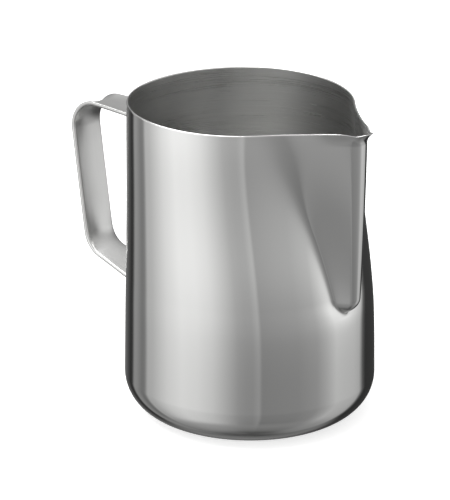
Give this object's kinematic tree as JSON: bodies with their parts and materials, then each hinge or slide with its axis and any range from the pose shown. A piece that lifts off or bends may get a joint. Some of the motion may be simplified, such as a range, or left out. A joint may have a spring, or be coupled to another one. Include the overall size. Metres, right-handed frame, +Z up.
{
  "type": "milk frothing pitcher",
  "caption": "Tapered open steel jug with a pressed V spout and a welded strap handle, for steaming and pouring milk.",
  "frame": {"origin": "centre of the flat base, on the body's axis", "axes": "+Z up along the body's axis, +X towards the spout, the handle on -X, +Y to the left when looking out over the spout"},
  "size_m": [0.1558, 0.105, 0.133],
  "materials": {
    "polished_sheet": "mirror-polished outside, fine satin brushing inside",
    "brushed_strap": "satin, softly polished edges",
    "weld_metal": "ground and polished weld bead"
  },
  "bodies": {
    "root": {"jug_body": "polished_sheet", "handle_strap": "brushed_strap", "upper_weld": "weld_metal", "lower_weld": "weld_metal"}
  },
  "joints": []
}
